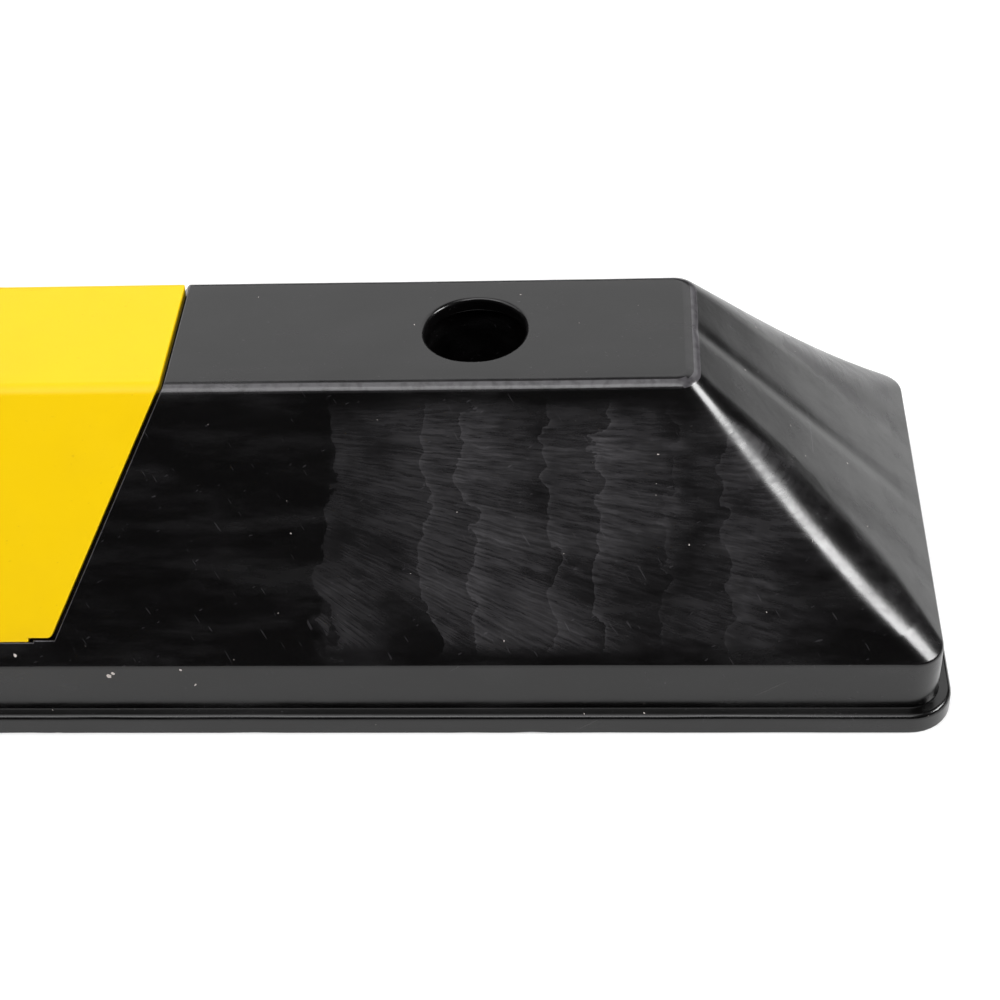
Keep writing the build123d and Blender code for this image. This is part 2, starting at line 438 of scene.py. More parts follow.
def opening_edges(sizes, bm, x, z):
    """The open edges of the square opening round an anchor hole at height z."""
    reach = post_block(sizes) + MM
    found = []
    for edge in bm.edges:
        middle = (edge.verts[0].co + edge.verts[1].co) / 2
        near = abs(middle.x - x) < reach and abs(middle.y) < reach and abs(middle.z - z) < TOUCH
        if near and edge.is_boundary:
            found.append(edge)
    return found


def bridge_flat(bm, outline, circle):
    """Joins a circle to the outline round it in the same plane. The circle stands off while they are joined,
    so that the two loops are matched the same way round."""
    verts = {v for e in circle for v in e.verts}
    stand_off = Vector((0.0, 0.0, 10 * MM))
    bmesh.ops.translate(bm, verts=list(verts), vec=stand_off)
    bmesh.ops.bridge_loops(bm, edges=outline + circle)
    bmesh.ops.translate(bm, verts=list(verts), vec=-stand_off)


def shape_shell(sizes):
    """The body's walls: outside, foot and inside as one closed skin, with recesses and anchor posts."""
    loft = Loft(sizes)
    bm = loft.bm
    loft.sheet()
    outer_top = list(bm.faces)
    roof_z = HEIGHT - sizes.wall
    copy = bmesh.ops.duplicate(bm, geom=outer_top)["geom"]
    roof = [g for g in copy if isinstance(g, bmesh.types.BMFace)]
    loft.place({v for f in roof for v in f.verts}, roof_z, depth=sizes.wall, margin=sizes.wall)
    # The sheet's outer border is where both ends of an edge lie a full step out of the core
    top_edges = [e for e in edge_ring(outer_top) if abs(sum(v[loft.out].length for v in e.verts) - 2) < 1e-3]

    foot = panel_foot(sizes) - sizes.lower_gap
    lip = foot - sizes.lip_step
    ring = top_edges
    for z in steps(HEIGHT, foot, sizes.mesh_step)[1:] + [lip, sizes.band_top]:
        ring = loft.extend(ring, z)
    knee_edges = ring
    for z in steps(sizes.band_top, sizes.flange_height, sizes.mesh_step)[1:]:
        ring = loft.extend(ring, z)
    ledge_edges = ring
    flange = (HALF_LENGTH, HALF_WIDTH, sizes.flange_corner, sizes.flange_corner)
    ring = loft.extend(ring, sizes.flange_height, ring=flange)
    flange_edges = ring
    ring = loft.extend(ring, 0.0, ring=flange)
    base_edges = ring

    inner_foot = foot - sizes.wall
    inner_lip = lip - sizes.wall
    low_levels = steps(0.0, inner_lip, 1.5 * sizes.inner_step)
    for z in low_levels + steps(inner_foot, roof_z, sizes.inner_step):
        ring = loft.extend(ring, z, depth=sizes.wall, margin=sizes.wall)

    for x in HOLE_XS:
        outer = opening_edges(sizes, bm, x, HEIGHT)
        circle = add_ring(bm, x, HOLE_RADIUS, HEIGHT, len(outer))
        bridge_flat(bm, outer, circle)
        chain = circle
        for radius, z in [(HOLE_RADIUS, roof_z), (sizes.post_inner, roof_z), (sizes.post_inner, 0.0),
                          (sizes.post_outer, 0.0), (sizes.post_outer, roof_z)]:
            chain = extend_circle(bm, chain, x, radius, z)
            if radius == HOLE_RADIUS:
                lower_rim = chain
        inner = set(opening_edges(sizes, bm, x, roof_z)) - set(chain)
        bridge_flat(bm, list(inner), chain)
        round_edges(bm, circle, sizes.hole_round, 6)
        round_edges(bm, lower_rim, sizes.lower_rim_round, 3)
    bmesh.ops.remove_doubles(bm, verts=bm.verts, dist=TOUCH)
    bmesh.ops.recalc_face_normals(bm, faces=bm.faces)

    fold = round_edges(bm, top_edges, sizes.top_round, 6)
    bm.normal_update()
    edge_highlight = bm.faces.layers.float["painted_highlight"]
    # The fold's crest gets a strong painted highlight, the rest of the fold a faint one
    for face in fold:
        face[edge_highlight] = CREST_HIGHLIGHT if 0.66 < face.normal.z < 0.94 else FOLD_HIGHLIGHT
    round_edges(bm, knee_edges, sizes.knee_round, 3)
    round_edges(bm, ledge_edges, sizes.ledge_round, 2)
    round_edges(bm, flange_edges, sizes.flange_round, 6)
    round_edges(bm, base_edges, sizes.base_round, 2)
    nick_foot(sizes, bm)
    cut_recesses(sizes, bm)
    return bm


def sink_faces(bm, faces, depth):
    """Moves a patch of the skin along its normals. Gives the walls that this makes round it."""
    return bmesh.ops.inset_region(bm, faces=faces, thickness=0.0, depth=depth, use_even_offset=True,
                                  use_boundary=True)["faces"]


def cut_recesses(sizes, bm):
    """Sinks the panels' places into the outside and steps the inside in behind them."""
    bm.normal_update()
    inner = [f for f in bm.faces
             if f.normal.z < -0.2 and in_recess(sizes, f.calc_center_median(), sizes.wall)
             and distance_to_hole(f.calc_center_median()) > sizes.post_outer]
    outer = [f for f in bm.faces if f.normal.z > 0.2 and in_recess(sizes, f.calc_center_median(), 0.0)]
    sides = set(sink_faces(bm, outer, -sizes.panel_thickness))
    sink_faces(bm, inner, sizes.panel_thickness)
    bm.normal_update()
    rim = [e for e in edge_ring(sides)
           if any(f not in sides and f.normal.z > 0.2 and on_skin(sizes, f.calc_center_median())
                  for f in e.link_faces)]
    # The recess rims get a painted highlight
    round_edges(bm, rim, sizes.recess_round, 2, painted_highlight=RIM_HIGHLIGHT)


def nick_foot(sizes, bm):
    """Small nicks and dents round the flange, mostly along its lower edge."""
    for vert in bm.verts:
        inside = HALF_WIDTH - abs(vert.co.y) > MM and HALF_LENGTH - abs(vert.co.x) > MM
        if inside or vert.co.z > sizes.flange_height:
            continue
        dent = max(noise.noise(vert.co * 55.0) - 0.1, 0.0)
        nick = max(noise.noise(vert.co * 170.0) - 0.22, 0.0)
        vert.co.y *= 1 - sizes.dent * dent / HALF_WIDTH
        if vert.co.z < 1.2 * sizes.base_round:
            vert.co.z += sizes.nick * nick


def on_skin(sizes, point):
    """Is this point on the outside of the top or slopes, rather than sunk below it?"""
    half_length, half_width = section(sizes, point.z)[:2]
    below = min(HEIGHT - point.z, half_width - abs(point.y), half_length - abs(point.x))
    return below < 1.5 * MM


def hook_xs(sizes):
    """X of every snap hook."""
    return [c + side * sizes.hook_offset for c in panel_centres() for side in (-1, 1)]


def cut_slots(sizes, bm):
    """Opens a slot through the wall for each snap hook."""
    low = sizes.hook_low - sizes.slot_gap
    high = sizes.hook_low + sizes.hook_thick + sizes.barb_rise + sizes.slot_gap
    half = sizes.hook_width / 2 + sizes.slot_gap
    margin = 10 * MM
    walls = [(f, f.calc_center_median()) for f in bm.faces]
    walls = [(f, c) for f, c in walls if low - margin < c.z < high + margin]
    for x in hook_xs(sizes):
        for side in (-1, 1):
            near = {f for f, c in walls if abs(c.x - x) < half + margin and c.y * side > sizes.top_half_width}
            for point, normal in [((x - half, 0, 0), (1, 0, 0)), ((x + half, 0, 0), (1, 0, 0)),
                                  ((0, 0, low), (0, 0, 1)), ((0, 0, high), (0, 0, 1))]:
                near, _ = slice_faces(bm, near, point, normal)
            centres = [(f, f.calc_center_median()) for f in near]
            gone = [f for f, c in centres if abs(c.x - x) < half and low < c.z < high]
            rims = edge_ring(gone)
            bmesh.ops.delete(bm, geom=gone, context="FACES")
            bmesh.ops.bridge_loops(bm, edges=[e for e in rims if e.is_valid])


def add_ribs(sizes, bm):
    """The inner ribs, which reach a little way into the walls and the anchor posts."""
    depth = (sizes.panel_thickness + sizes.wall) / 2
    half_length, half_width = section(sizes, 0.0, depth)[:2]
    thick = sizes.rib / 2
    clear = sizes.post_outer - MM
    half_band = (panel_centres()[1] - panel_centres()[0]) / 4
    count = 2 * len(PANEL_NODES) - 1
    stations = [i * half_band for i in range(-count, count + 1)]
    stations += [side * (HOLE_XS[-1] + more) for side in (-1, 1) for more in (0.0, sizes.end_cell)]
    for x in stations:
        at_post = distance_to_hole(Vector((x, 0.0, 0.0))) < clear
        ends = [-half_width, -clear, clear, half_width] if at_post else [-half_width, half_width]
        for y_low, y_high in zip(ends[::2], ends[1::2]):
            rib_block(sizes, bm, depth, (x - thick, y_low), (x + thick, y_high))
    for y in (-sizes.side_rib_offset, sizes.side_rib_offset):
        rib_block(sizes, bm, depth, (-half_length, y - thick), (half_length, y + thick))
    stops = [-half_length] + [x + side * clear for x in HOLE_XS for side in (-1, 1)] + [half_length]
    for x_low, x_high in zip(stops[::2], stops[1::2]):
        rib_block(sizes, bm, depth, (x_low, -thick), (x_high, thick))


def rib_block(sizes, bm, depth, low, high):
    """One straight rib from the ground up, trimmed along the slopes at this depth."""
    block = add_block(bm, (*low, 0.0), (*high, HEIGHT - depth))
    rise, end_run, side_run = slopes(sizes)
    slope_length = HALF_LENGTH - sizes.flange_step - depth * hypot(rise, end_run) / rise
    slope_width = HALF_WIDTH - sizes.flange_step - depth * hypot(rise, side_run) / rise
    for side in (-1, 1):
        for point, normal in [((side * slope_length, 0, sizes.band_top), (side * rise, 0, end_run)),
                              ((0, side * slope_width, sizes.band_top), (0, side * rise, side_run))]:
            block, cut_edges = slice_faces(bm, block, point, normal, clear_outer=True)
            open_edges = [e for e in cut_edges if e.is_boundary]
            if open_edges:
                block |= set(bmesh.ops.holes_fill(bm, edges=open_edges, sides=0)["faces"])


def settle(sizes, bm):
    """Lets a moulding wander a little from flat, as it does while it cools. It moves only inwards."""
    for vert in bm.verts:
        lift = min(vert.co.z / sizes.band_top, 1.0)
        dip = max(noise.noise(vert.co * 8.0), 0.0) + 0.5 * max(noise.noise(vert.co * 23.0), 0.0)
        pull = max(noise.noise(vert.co * 7.0 + Vector((5.0, 0.0, 0.0))), 0.0)
        vert.co.z -= sizes.warp * lift * dip
        vert.co.y -= sizes.warp * lift * pull * vert.co.y / HALF_WIDTH


def draw_in(sizes, bm):
    """Sink marks over the lengthwise ribs, on the end slopes."""
    rise, run, _ = slopes(sizes)
    inwards = Vector((-rise, 0.0, -run)).normalized()
    for vert in bm.verts:
        half_length, half_width = section(sizes, vert.co.z)[:2]
        on_end = half_length - abs(vert.co.x) < 0.3 * MM and sizes.band_top + MM < vert.co.z < HEIGHT - MM
        if not on_end or abs(vert.co.y) > half_width - sizes.sink_margin:
            continue
        dip = sum(exp(-((vert.co.y - y) / sizes.sink_width) ** 2)
                  for y in (-sizes.side_rib_offset, 0.0, sizes.side_rib_offset))
        side = 1 if vert.co.x > 0 else -1
        vert.co += Vector((side * inwards.x, 0.0, inwards.z)) * sizes.sink * dip


def distance_to_hole(point):
    """Distance from a point to the nearest anchor hole's axis, seen from above."""
    return min(hypot(point.x - x, point.y) for x in HOLE_XS)


def build_body(sizes, finish):
    """The black body."""
    bm = shape_shell(sizes)
    cut_slots(sizes, bm)
    add_ribs(sizes, bm)
    draw_in(sizes, bm)
    settle(sizes, bm)
    return finish_piece(bm, "wheel_stop_body", black_plastic(finish), BODY_NODE)


def shape_panel(sizes, centre):
    """One saddle panel: over the top and down both slopes, with a lip along each foot and four hooks."""
    bm = bmesh.new()
    foot = panel_foot(sizes)
    half = recess_half(sizes) - sizes.side_gap
    lip = lip_half(sizes) / (half - sizes.edge_lean * (HEIGHT - foot))
    columns = steps(-1, -lip, 0.06)[:-1] + steps(-lip, lip, 0.06)[:-1] + steps(lip, 1, 0.06)
    climb = [(-section(sizes, z)[1], z) for z in steps(foot, HEIGHT, sizes.mesh_step)]
    edge = sizes.top_half_width
    across = [(y, HEIGHT) for y in steps(-edge, edge, 4 * sizes.row_step)[1:-1]]
    rows = climb + across + [(-y, z) for y, z in reversed(climb)]
    folds = {len(climb) - 1, len(rows) - len(climb)}
    verts = lay_grid(bm, columns, list(range(len(rows))), 0.0)
    fold_verts = {v for v in verts if round(v.co.y) in folds}
    for vert in verts:
        y, z = rows[round(vert.co.y)]
        vert.co = (centre + vert.co.x * (half - sizes.edge_lean * (HEIGHT - z)), y, z)
    fold_edges = [e for e in bm.edges if fold_verts.issuperset(e.verts)]
    round_edges(bm, fold_edges, sizes.top_round, 6)
    corners = [v for v in bm.verts if len(v.link_faces) == 1]
    bmesh.ops.bevel(bm, geom=corners, offset=sizes.panel_corner, offset_type="OFFSET", segments=5,
                    profile=0.5, affect="VERTICES", material=-1)
    reach = lip_half(sizes) + 0.1 * MM
    feet = [e for e in bm.edges if e.is_boundary
            and all(abs(v.co.z - foot) < TOUCH and abs(v.co.x - centre) < reach for v in e.verts)]
    made = bmesh.ops.extrude_edge_only(bm, edges=feet)["geom"]
    slant = section(sizes, foot - sizes.lip_reach)[1] - section(sizes, foot)[1]
    for vert in [g for g in made if isinstance(g, bmesh.types.BMVert)]:
        vert.co.z -= sizes.lip_reach
        vert.co.y += slant if vert.co.y > 0 else -slant
    bm.normal_update()
    bmesh.ops.solidify(bm, geom=bm.faces, thickness=sizes.panel_thickness - sizes.panel_play)
    bm.normal_update()
    round_edges(bm, [e for e in bm.edges if e.calc_face_angle(0.0) > 1.0], sizes.panel_round, 3)
    for x in (-sizes.hook_offset, sizes.hook_offset):
        for side in (-1, 1):
            add_hook(sizes, bm, centre + x, side)
    settle(sizes, bm)
    return bm


def add_hook(sizes, bm, x, side):
    """A snap hook: a level tongue through the body's wall with a barb that catches behind it."""
    high = sizes.hook_low + sizes.hook_thick
    behind = section(sizes, high + sizes.barb_rise, sizes.panel_thickness + sizes.wall)[1] - sizes.slot_gap
    start = section(sizes, high, sizes.panel_thickness / 2)[1]
    tip = behind - sizes.barb_depth
    low_y, high_y = sorted((side * start, side * tip))
    block = add_block(bm, (x - sizes.hook_width / 2, low_y, sizes.hook_low),
                      (x + sizes.hook_width / 2, high_y, high))
    block, _ = slice_faces(bm, block, (0, side * behind, 0), (0, 1, 0))
    bm.normal_update()
    barb = [f for f in block if f.normal.z > 0.9 and abs(f.calc_center_median().y) < behind]
    made = bmesh.ops.extrude_face_region(bm, geom=barb)["geom"]
    bmesh.ops.delete(bm, geom=barb, context="FACES_ONLY")
    raised = [g for g in made if isinstance(g, bmesh.types.BMVert)]
    for vert in raised:
        vert.co.z += sizes.barb_rise
        if abs(vert.co.y) < (behind + tip) / 2:
            vert.co.y += side * sizes.barb_lead


def build_panels(sizes, finish):
    """The yellow marker panels."""
    material = yellow_plastic(finish)
    for node in PANEL_NODES:
        low, high = PANEL_BOXES[node]
        bm = shape_panel(sizes, (low.x + high.x) / 2)
        finish_piece(bm, node.replace("marker", "saddle"), material, node)


def finish_piece(bm, name, material, node):
    """Turns a finished bmesh into a piece of the object that stands for a node."""
    bm.normal_update()
    for face in bm.faces:
        face.smooth = True
    for edge in bm.edges:
        edge.smooth = len(edge.link_faces) == 2 and edge.calc_face_angle(pi) < SHARP_ANGLE
    mesh = bpy.data.meshes.new(name)
    bm.to_mesh(mesh)
    bm.free()
    piece = bpy.data.objects.new(name, mesh)
    bpy.context.scene.collection.objects.link(piece)
    mesh.materials.append(material)
    piece.modifiers.new("even_shading", "WEIGHTED_NORMAL").keep_sharp = True
    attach(piece, "root")
    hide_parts(node)
    return piece


# ---------------------------------------------------------------- materials

class Nodes:
    """Adds nodes to a material. A value may be a number, a tuple or another node's output."""

    def __init__(self, name):
        self.material = bpy.data.materials.new(name)
        self.material.use_nodes = True
        self.tree = self.material.node_tree
        self.shader = self.tree.nodes["Principled BSDF"]

    def feed(self, socket, value):
        if isinstance(value, bpy.types.NodeSocket):
            self.tree.links.new(value, socket)
        else:
            socket.default_value = value

    def add(self, kind, output=0, settings=None, **inputs):
        node = self.tree.nodes.new("ShaderNode" + kind)
        for key, value in (settings or {}).items():
            setattr(node, key, value)
        for key, value in inputs.items():
            self.feed(node.inputs[key.replace("_", " ")], value)
        return node.outputs[output]

    def math(self, operation, *values):
        node = self.tree.nodes.new("ShaderNodeMath")
        node.operation = operation
        for socket, value in zip(node.inputs, values):
            self.feed(socket, value)
        return node.outputs[0]

    def vector_math(self, operation, first, second):
        """The outputs of a vector math node."""
        node = self.tree.nodes.new("ShaderNodeVectorMath")
        node.operation = operation
        self.feed(node.inputs[0], first)
        self.feed(node.inputs[1], second)
        return node.outputs

    def total(self, *values):
        result = values[0]
        for value in values[1:]:
            result = self.math("ADD", result, value)
        return result

    def product(self, *values):
        result = values[0]
        for value in values[1:]:
            result = self.math("MULTIPLY", result, value)
        return result

    def step(self, value, start, end, low=0.0, high=1.0):
        """Goes smoothly from low to high while the value goes from start to end."""
        return self.add("MapRange", settings={"interpolation_type": "SMOOTHSTEP"}, Value=value,
                        From_Min=start, From_Max=end, To_Min=low, To_Max=high)

    def noise(self, vector, scale, detail=3.0, roughness=0.55):
        return self.add("TexNoise", "Fac", Vector=vector, Scale=scale, Detail=detail, Roughness=roughness)

    def turned(self, vector, scale, angle=(0.0, 0.0, 0.0)):
        """A vector stretched along its axes, and turned by these degrees."""
        return self.add("Mapping", Vector=vector, Scale=scale, Rotation=[radians(a) for a in angle])

    def blend(self, factor, first, second):
        """Goes from the first colour to the second. A Mix node's colours are its sockets 6 and 7."""
        node = self.tree.nodes.new("ShaderNodeMix")
        node.data_type = "RGBA"
        for index, value in ((0, factor), (6, first), (7, second)):
            self.feed(node.inputs[index], value)
        return node.outputs[2]

    def bump(self, height, distance):
        return self.add("Bump", Height=height, Distance=distance)

    def millimetres(self):
        """Object coordinates in millimetres, and their X, Y and Z."""
        place = self.add("TexCoord", "Object")
        point = self.add("VectorMath", settings={"operation": "SCALE"}, Vector=place, Scale=1000.0)
        apart = self.tree.nodes.new("ShaderNodeSeparateXYZ")
        self.tree.links.new(point, apart.inputs[0])
        return point, *apart.outputs


def flecks(nodes, point, spacing, largest, rarity):
    """Small light marks: one at most in each cell, most of them too small to see."""
    wobble = nodes.add("VectorMath", settings={"operation": "SCALE"}, Scale=1.6,
                       Vector=nodes.add("TexNoise", "Color", Vector=point, Scale=0.9, Detail=2.0))
    moved = nodes.vector_math("ADD", point, wobble)["Vector"]
    away = nodes.add("TexVoronoi", "Distance", Vector=moved, Scale=1 / spacing)
    size = nodes.math("POWER", nodes.add("SeparateColor", Color=away.node.outputs["Color"]), rarity)
    near = nodes.math("SUBTRACT", nodes.math("MULTIPLY", size, largest / spacing), away)
    return nodes.step(near, 0.0, 0.15 * largest / spacing)


def hairlines(nodes, point, angle, spacing, reach):
    """Thin, nearly straight scratches, about reach long, lying at this angle."""
    turned = nodes.turned(point, (1.0, 1.0, 1.0), angle)
    lines = nodes.turned(turned, (1 / reach, 1 / spacing, 1 / spacing))
    return nodes.step(nodes.noise(lines, 1.0, 1.0, 0.5), 0.735, 0.80)


def chip(nodes, point, place, size):
    """One light chip of this size at this place, with a ragged outline."""
    ragged = nodes.math("MULTIPLY_ADD", nodes.noise(point, 1.1, 2.0), 1.6 * size, -0.8 * size)
    away = nodes.vector_math("DISTANCE", point, place)["Value"]
    return nodes.step(nodes.total(away, ragged), size, 0.75 * size)


# The largest chips: where they are and how big, in millimetres
CHIPS = [((566.2, -71.1, 21.7), 0.85), ((567.6, -71.1, 22.9), 0.7), ((588.8, -71.1, 24.4), 0.5),
         ((537.8, -69.0, 29.0), 0.55)]

# The tide lines of the scuffs: how far each lies from the right-hand end of a band, in millimetres, and its
# brightness. On the back slopes they are shifted.
TIDE_LINES = [(189.0, 0.55), (159.0, 0.75), (146.0, 1.0), (123.0, 0.8), (108.0, 1.0), (88.0, 0.4),
              (70.0, 0.6)]
BACK_SHIFT = 61.0


def slope_scuffs(nodes, point, x, y, z):
    """Hazy scuffs on the long slopes: wavy upright tide lines, from each of which fine streaks fan out. All
    distances are in millimetres."""
    period = (panel_centres()[1] - panel_centres()[0]) / 2 / MM
    shift = nodes.product(nodes.math("GREATER_THAN", y, 0.0), BACK_SHIFT)
    along = nodes.total(nodes.math("MULTIPLY", x, -1.0), HALF_LENGTH / MM, shift)
    along = nodes.math("MODULO", along, period)
    wave = nodes.product(nodes.total(nodes.noise(point, 0.045, 2.0), -0.5), 26.0)
    ripple = nodes.product(nodes.total(nodes.noise(point, 0.17, 3.0), -0.5), 9.0)
    place = nodes.total(along, wave, ripple)
    bright = 0.0
    for line, strength in TIDE_LINES:
        past = nodes.math("SUBTRACT", line, place)
        inside = nodes.math("GREATER_THAN", past, 0.0)
        thin = nodes.product(nodes.math("EXPONENT", nodes.math("DIVIDE", past, -1.1)), 0.34)
        wide = nodes.product(nodes.math("EXPONENT", nodes.math("DIVIDE", past, -13.0)), 0.36)
        bright = nodes.math("MAXIMUM", bright, nodes.product(inside, strength, nodes.total(thin, wide)))
    run = nodes.math("SUBTRACT", 190.0, along)
    rise = nodes.total(nodes.math("SUBTRACT", z, 80.0), nodes.product(run, 0.16),
                       nodes.product(ripple, 0.12))
    fan = nodes.math("DIVIDE", rise, nodes.math("ADD", run, 75.0))
    streak_at = nodes.add("CombineXYZ", X=nodes.product(fan, 150.0), Y=nodes.product(along, 0.075))
    streaks = nodes.step(nodes.noise(streak_at, 1.0, 6.0, 0.72), 0.30, 0.78)
    patches = nodes.step(nodes.noise(point, 0.028, 4.0), 0.36, 0.62)
    body = nodes.total(bright, nodes.product(patches, 0.42))
    height = nodes.product(nodes.step(z, 27.0, 34.0), nodes.step(z, 99.0, 88.0))
    reach = nodes.product(nodes.step(place, 192.0, 186.0), nodes.step(place, 34.0, 64.0))
    side = nodes.step(nodes.math("ABSOLUTE", y), 28.0, 31.0)
    return nodes.product(body, nodes.math("MULTIPLY_ADD", streaks, 1.1, 0.25), height, reach, side)


def end_scratch(nodes, point, x, y, z):
    """One short, nearly level scratch across the right-hand end slope. All places are in millimetres."""
    wander = nodes.product(nodes.noise(point, 0.2, 1.0), 0.9)
    line = nodes.math("ABSOLUTE", nodes.total(z, -63.3, wander, -0.45))
    across = nodes.product(nodes.step(y, -18.0, -15.0), nodes.step(y, 4.5, 2.0))
    on_slope = nodes.product(nodes.step(x, 776.0, 780.0), nodes.step(x, 790.0, 786.0))
    return nodes.product(nodes.step(line, 0.30, 0.10), across, on_slope)


def grain(nodes, point, fine, coarse):
    """Height of a moulded surface: fine grain, coarser unevenness and slow waves."""
    small = nodes.product(nodes.noise(point, fine[0], 1.0), fine[1])
    middling = nodes.product(nodes.noise(point, coarse[0], 2.0), coarse[1])
    return nodes.total(small, middling, nodes.noise(point, 0.03, 1.0))


def black_plastic(finish):
    """Black moulded polyethylene with a fine grain, hazy scuffs, hairline scratches and light flecks, and a
    painted highlight along the recess rims and the folds.
    """
    nodes = Nodes("black_moulded_plastic")
    point, x, y, z = nodes.millimetres()
    shader = nodes.shader.inputs
    scuffs = slope_scuffs(nodes, point, x, y, z)
    stretched = nodes.turned(point, (0.025, 0.11, 0.11), (0, 25, 32))
    smears = nodes.step(nodes.noise(stretched, 1.0, 5.0, 0.65), 0.42, 0.75)
    hair = end_scratch(nodes, point, x, y, z)
    for angle, spacing, reach in [((0, 34, 0), 0.9, 30.0), ((14, -58, 20), 0.8, 22.0)]:
        hair = nodes.math("MAXIMUM", hair, hairlines(nodes, point, angle, spacing, reach))
    chips = flecks(nodes, point, 19.0, 0.9, 6.0)
    chips = nodes.math("MAXIMUM", chips, flecks(nodes, point, 4.6, 0.30, 3.6))
    for place, size in CHIPS:
        chips = nodes.math("MAXIMUM", chips, chip(nodes, point, place, size))
    # Painted highlight on the recess rims and folds, broken up by noise
    edge_highlight = nodes.product(nodes.add("Attribute", "Fac", settings={"attribute_name": "painted_highlight"}),
                         nodes.step(nodes.noise(point, 0.35, 3.0), 0.25, 0.6, 0.45, 1.0))

    # The scuffs, smears and hairlines whiten the black, and the painted highlight is mixed in with the same
    # colour
    haze_and_highlight = nodes.total(nodes.product(scuffs, 0.5), nodes.product(smears, 0.06), nodes.product(hair, 0.22),
                       nodes.product(edge_highlight, 0.8))
    colour_now = nodes.blend(haze_and_highlight, (*finish.black, 1.0), (*finish.haze_and_highlight, 1.0))
    nodes.feed(shader["Base Color"], nodes.blend(chips, colour_now, (*finish.fleck, 1.0)))
    rough = nodes.total(0.155, nodes.product(scuffs, 0.25), nodes.product(smears, 0.09),
                        nodes.product(nodes.noise(point, 0.06, 4.0), 0.10), nodes.product(chips, 0.35))
    nodes.feed(shader["Roughness"], rough)
    nodes.feed(shader["Normal"], nodes.bump(grain(nodes, point, (1.3, 0.012), (0.28, 0.055)), 0.4 * MM))
    return nodes.material


def yellow_plastic(finish):
    """Yellow moulded plastic: faint mottling, a few marks, fine scratches, and patches that turn darker and
    more orange towards the panels' lower edges.
    """
    nodes = Nodes("yellow_moulded_plastic")
    point, _, _, z = nodes.millimetres()
    shader = nodes.shader.inputs
    shader["Specular IOR Level"].default_value = 0.25
    mottle = nodes.step(nodes.noise(point, 0.03, 4.0, 0.6), 0.35, 0.8)
    hair = hairlines(nodes, point, (12, 37, 20), 0.9, 26.0)
    marks = flecks(nodes, point, 15.0, 0.4, 6.0)
    # Patches that turn darker and more orange towards the panels' lower edges
    low = nodes.step(z, 40.0, 32.0)
    orange_tint = nodes.total(nodes.product(mottle, 0.10), nodes.product(hair, 0.25), nodes.product(marks, 0.6),
                        nodes.product(low, nodes.noise(point, 0.25), 0.25))
    nodes.feed(shader["Base Color"], nodes.blend(orange_tint, (*finish.yellow, 1.0), (*finish.orange_tint, 1.0)))
    nodes.feed(shader["Roughness"], nodes.total(0.34, nodes.product(nodes.noise(point, 0.08, 4.0), 0.1),
                                                nodes.product(hair, 0.1)))
    nodes.feed(shader["Normal"], nodes.bump(grain(nodes, point, (1.1, 0.012), (0.22, 0.06)), 0.35 * MM))
    return nodes.material


def floor_paint(finish):
    """Matt pale floor with a faint unevenness, which glows a little as a light table does."""
    nodes = Nodes("pale_floor")
    point = nodes.millimetres()[0]
    shader = nodes.shader.inputs
    patch = tuple(0.97 * value for value in finish.floor)
    paint = nodes.blend(nodes.noise(point, 0.01, 4.0), (*patch, 1.0), (*finish.floor, 1.0))
    nodes.feed(shader["Base Color"], paint)
    shader["Roughness"].default_value = 0.9
    shader["Specular IOR Level"].default_value = 0.0
    shader["Emission Color"].default_value = (1.0, 1.0, 1.0, 1.0)
    shader["Emission Strength"].default_value = finish.floor_glow
    return nodes.material


# ---------------------------------------------------------------- stage

def soft_light(name, place, aim, size, radiance):
    """A rectangular softbox of this brightness, turned towards a point."""
    light = bpy.data.lights.new(name, "AREA")
    light.shape = "RECTANGLE"
    light.size, light.size_y = size
    light.energy = radiance * pi * size[0] * size[1]
    lamp = bpy.data.objects.new(name, light)
    lamp.location = place
    lamp.rotation_euler = (Vector(aim) - Vector(place)).to_track_quat("-Z", "Y").to_euler()
    bpy.context.scene.collection.objects.link(lamp)


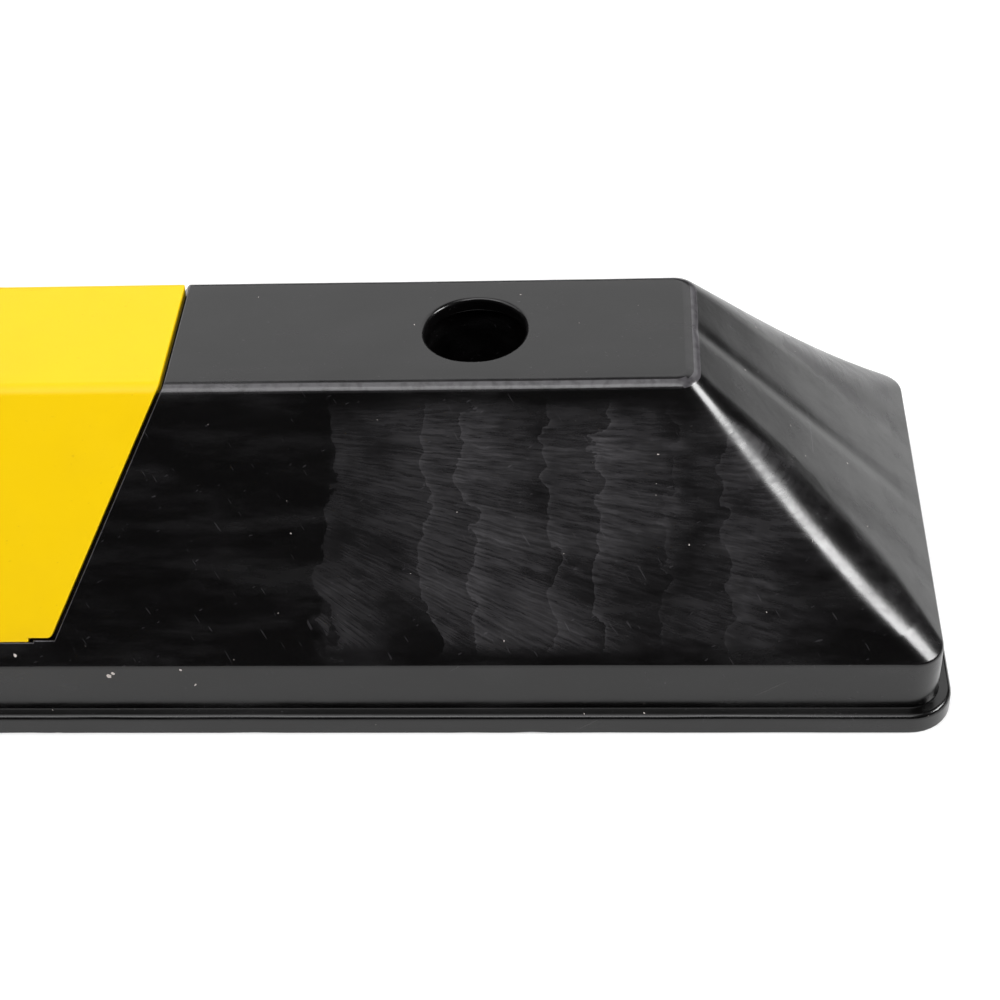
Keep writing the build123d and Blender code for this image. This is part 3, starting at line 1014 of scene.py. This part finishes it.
def build_stage(stage, finish):
    """Floor, lights, world and camera."""
    scene = bpy.context.scene
    bm = bmesh.new()
    bmesh.ops.create_grid(bm, x_segments=8, y_segments=8, size=stage.floor_size / 2)
    mesh = bpy.data.meshes.new("floor")
    bm.to_mesh(mesh)
    bm.free()
    floor = bpy.data.objects.new("floor", mesh)
    floor.location.z = -0.05 * MM
    scene.collection.objects.link(floor)
    mesh.materials.append(floor_paint(finish))

    # Each softbox: its direction and distance from the right-hand anchor hole, its size and its brightness
    aim = Vector((HOLE_XS[-1], 0.0, HEIGHT / 2))
    for name, direction, distance, size, radiance in [
            ("back_softbox", (0.06, 0.745, 0.664), 1.5, (2.4, 1.1), stage.back_light),
            ("overhead_softbox", (-0.1, -0.15, 0.98), 1.6, (1.7, 1.0), stage.top_light),
            ("front_softbox", (-0.15, -0.50, 0.85), 1.7, (1.6, 0.6), stage.front_light),
            ("side_softbox", (0.834, -0.09, 0.545), 1.3, (0.48, 0.27), stage.side_light),
            ("far_softbox", (-0.68, 0.0, 0.74), 2.1, (1.6, 1.0), stage.far_light)]:
        soft_light(name, aim + Vector(direction).normalized() * distance, aim, size, radiance)

    world = bpy.data.worlds.new("studio")
    world.use_nodes = True
    nodes = world.node_tree.nodes
    seen = nodes.new("ShaderNodeMix")
    seen.data_type = "RGBA"
    seen.inputs[6].default_value = (*stage.room, 1.0)
    seen.inputs[7].default_value = (*stage.backdrop, 1.0)
    world.node_tree.links.new(nodes.new("ShaderNodeLightPath").outputs["Is Camera Ray"], seen.inputs[0])
    world.node_tree.links.new(seen.outputs[2], nodes["Background"].inputs["Color"])
    scene.world = world
    scene.view_settings.view_transform = "Standard"

    camera = bpy.data.cameras.new("camera")
    camera.lens = stage.lens
    camera.sensor_width = 36.0
    camera.clip_start = 0.01
    viewer = bpy.data.objects.new("camera", camera)
    turn = (Matrix.Rotation(stage.camera_turn[2], 4, "Z") @ Matrix.Rotation(stage.camera_turn[0], 4, "X")
            @ Matrix.Rotation(stage.camera_turn[1], 4, "Z"))
    viewer.matrix_world = Matrix.Translation(stage.camera_place) @ turn
    scene.collection.objects.link(viewer)
    scene.camera = viewer


# ---------------------------------------------------------------- operators

class WHEELSTOP_OT_body(bpy.types.Operator):
    """Builds the black hollow body"""

    bl_idname = "wheelstop.body"
    bl_label = "Body"

    def execute(self, context):
        build_body(context.scene.wheelstop_sizes, context.scene.wheelstop_finish)
        return {"FINISHED"}


class WHEELSTOP_OT_panels(bpy.types.Operator):
    """Builds the yellow marker panels"""

    bl_idname = "wheelstop.panels"
    bl_label = "Marker panels"

    def execute(self, context):
        build_panels(context.scene.wheelstop_sizes, context.scene.wheelstop_finish)
        return {"FINISHED"}


class WHEELSTOP_OT_stage(bpy.types.Operator):
    """Sets up the floor, the lights and the camera"""

    bl_idname = "wheelstop.stage"
    bl_label = "Stage"

    def execute(self, context):
        build_stage(context.scene.wheelstop_stage, context.scene.wheelstop_finish)
        return {"FINISHED"}


class WHEELSTOP_PT_sidebar(bpy.types.Panel):
    """Lists the pieces of the wheel stop with their sizes and colours"""

    bl_label = "Wheel Stop"
    bl_idname = "WHEELSTOP_PT_sidebar"
    bl_space_type = "VIEW_3D"
    bl_region_type = "UI"
    bl_category = "Wheel Stop"

    def draw(self, context):
        for operator in OPERATORS:
            self.layout.operator(operator.bl_idname)
        for group in (getattr(context.scene, name) for name in GROUPS):
            box = self.layout.box()
            for name in group.bl_rna.properties.keys():
                if name not in ("rna_type", "name"):
                    box.prop(group, name)


OPERATORS = [WHEELSTOP_OT_body, WHEELSTOP_OT_panels, WHEELSTOP_OT_stage]
GROUPS = {"wheelstop_sizes": WHEELSTOP_PG_sizes, "wheelstop_finish": WHEELSTOP_PG_finish,
          "wheelstop_stage": WHEELSTOP_PG_stage}


def register():
    for cls in [*GROUPS.values(), *OPERATORS, WHEELSTOP_PT_sidebar]:
        bpy.utils.register_class(cls)
    for name, group in GROUPS.items():
        setattr(bpy.types.Scene, name, bpy.props.PointerProperty(type=group))


def unregister():
    for name in GROUPS:
        delattr(bpy.types.Scene, name)
    for cls in reversed([*GROUPS.values(), *OPERATORS, WHEELSTOP_PT_sidebar]):
        bpy.utils.unregister_class(cls)


def main():
    register()
    bpy.ops.wheelstop.body()
    bpy.ops.wheelstop.panels()
    bpy.ops.wheelstop.stage()


if __name__ == "__main__":
    main()
